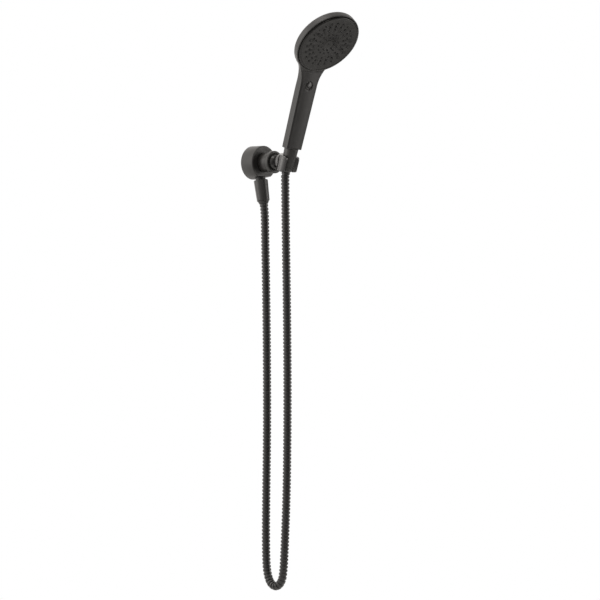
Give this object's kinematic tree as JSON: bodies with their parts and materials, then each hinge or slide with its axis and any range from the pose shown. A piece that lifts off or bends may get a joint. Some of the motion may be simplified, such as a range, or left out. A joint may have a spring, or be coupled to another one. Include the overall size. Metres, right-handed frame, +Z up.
{
  "type": "handheld shower head",
  "caption": "Hand shower with a round tilted spray head on a square handle, resting in a ball-jointed cradle on a round wall elbow, joined by a corrugated hose.",
  "frame": {"origin": "centre of the elbow's rear face, on the wall, at the mouth of its inlet thread", "axes": "+Y into the wall along the inlet pipe, -Y out into the room, +Z up, +X to the right seen from the wall"},
  "size_m": [0.1242, 0.2317, 1.0119],
  "materials": {
    "coated_metal": "matte black powder coat on metal",
    "coated_nipple": "matte black powder coat on metal",
    "coated_collar": "matte black powder coat on metal",
    "coated_ball_nut": "matte black powder coat on metal",
    "coated_ball": "satin black coat on the ball",
    "coated_cradle": "satin black coat",
    "coated_nut": "satin black coat on turned brass",
    "coated_ferrule": "satin black coat on the crimped sleeve",
    "hose_strip": "satin black wound metal strip",
    "hose_liner": "smooth flexible liner",
    "handset_shell": "matte black, fine moulded grain",
    "handset_front": "matte black, fine moulded grain",
    "button_cap": "satin black",
    "spray_face": "matte black with faint radial ribs",
    "bezel_plastic": "gloss black",
    "nozzle_rubber": "soft silicone",
    "grey_plastic": "moulded",
    "green_plastic": "moulded",
    "white_acetal": "moulded",
    "grey_acetal": "moulded",
    "black_rubber": "smooth seal",
    "spring_steel": "bright wire",
    "zinc_screw": "zinc plated"
  },
  "bodies": {
    "wall_elbow": {"elbow_body": "coated_metal", "wall_gasket": "black_rubber", "outlet_nipple": "coated_nipple", "check_valve_body": "white_acetal", "check_valve_spring": "spring_steel", "collar": "coated_collar", "ball_nut": "coated_ball_nut", "friction_ring": "black_rubber", "hose_nut_elbow": "coated_nut", "hose_ferrule_elbow": "coated_ferrule", "hose_washer_elbow": "black_rubber", "hose_jacket": "hose_strip", "hose_inner_tube": "hose_liner"},
    "check_poppet": {"check_valve_poppet": "white_acetal"},
    "ball_pan": {"rear_seat": "grey_acetal"},
    "ball_tilt": {"front_seat": "grey_acetal"},
    "cradle_arm": {"swivel_ball": "coated_ball", "cradle": "coated_cradle", "cradle_screw": "zinc_screw"},
    "hose_end": {"hose_ferrule_handset": "coated_ferrule"},
    "handset": {"hose_nut_handset": "coated_nut", "hose_washer_handset": "black_rubber", "filter_screen": "spring_steel", "back_shell": "handset_shell", "front_cover": "handset_front", "inlet_connector": "grey_plastic", "water_tube": "grey_plastic", "flow_restrictor": "green_plastic", "button_spring": "spring_steel", "spray_faceplate": "spray_face", "nozzle_mat": "nozzle_rubber", "distribution_plate": "grey_plastic", "face_screws": "zinc_screw", "head_seal": "black_rubber", "bezel_ring": "bezel_plastic"},
    "spray_button": {"mode_button": "button_cap", "valve_spool": "white_acetal", "spool_seal": "black_rubber"}
  },
  "joints": [
    {"name": "check_open", "type": "slide", "parent": "wall_elbow", "child": "check_poppet", "axis": [0, -0.1788, -0.9839], "range_m": [0, 0.0025], "stiffness_N_per_m": 80, "springref_m": -0.002, "deforming": ["check_valve_spring"]},
    {"name": "cradle_pan", "type": "hinge", "parent": "wall_elbow", "child": "ball_pan", "pos_m": [0, -0.051, 0], "axis": [0, 0, 1], "range_deg": [-12, 12], "deforming": ["hose_jacket", "hose_inner_tube"]},
    {"name": "cradle_tilt", "type": "hinge", "parent": "ball_pan", "child": "ball_tilt", "pos_m": [0, -0.051, 0], "axis": [1, 0, 0], "range_deg": [-10, 10], "deforming": ["hose_jacket", "hose_inner_tube"]},
    {"name": "cradle_roll", "type": "hinge", "parent": "ball_tilt", "child": "cradle_arm", "pos_m": [0, -0.051, 0], "axis": [0, -1, 0], "range_deg": [-15, 15], "deforming": ["hose_jacket", "hose_inner_tube"]},
    {"name": "handset_lift", "type": "slide", "parent": "cradle_arm", "child": "hose_end", "axis": [0, -0.3206, 0.9472], "range_m": [0, 0.033], "deforming": ["hose_jacket", "hose_inner_tube"]},
    {"name": "handset_spin", "type": "hinge", "parent": "hose_end", "child": "handset", "pos_m": [0, -0.0975, 0.0229], "axis": [0, -0.3206, 0.9472], "continuous": true},
    {"name": "button_press", "type": "slide", "parent": "handset", "child": "spray_button", "axis": [0.075, 0.9445, 0.3197], "range_m": [0, 0.0015], "stiffness_N_per_m": 500, "springref_m": -0.001, "deforming": ["button_spring"]}
  ]
}
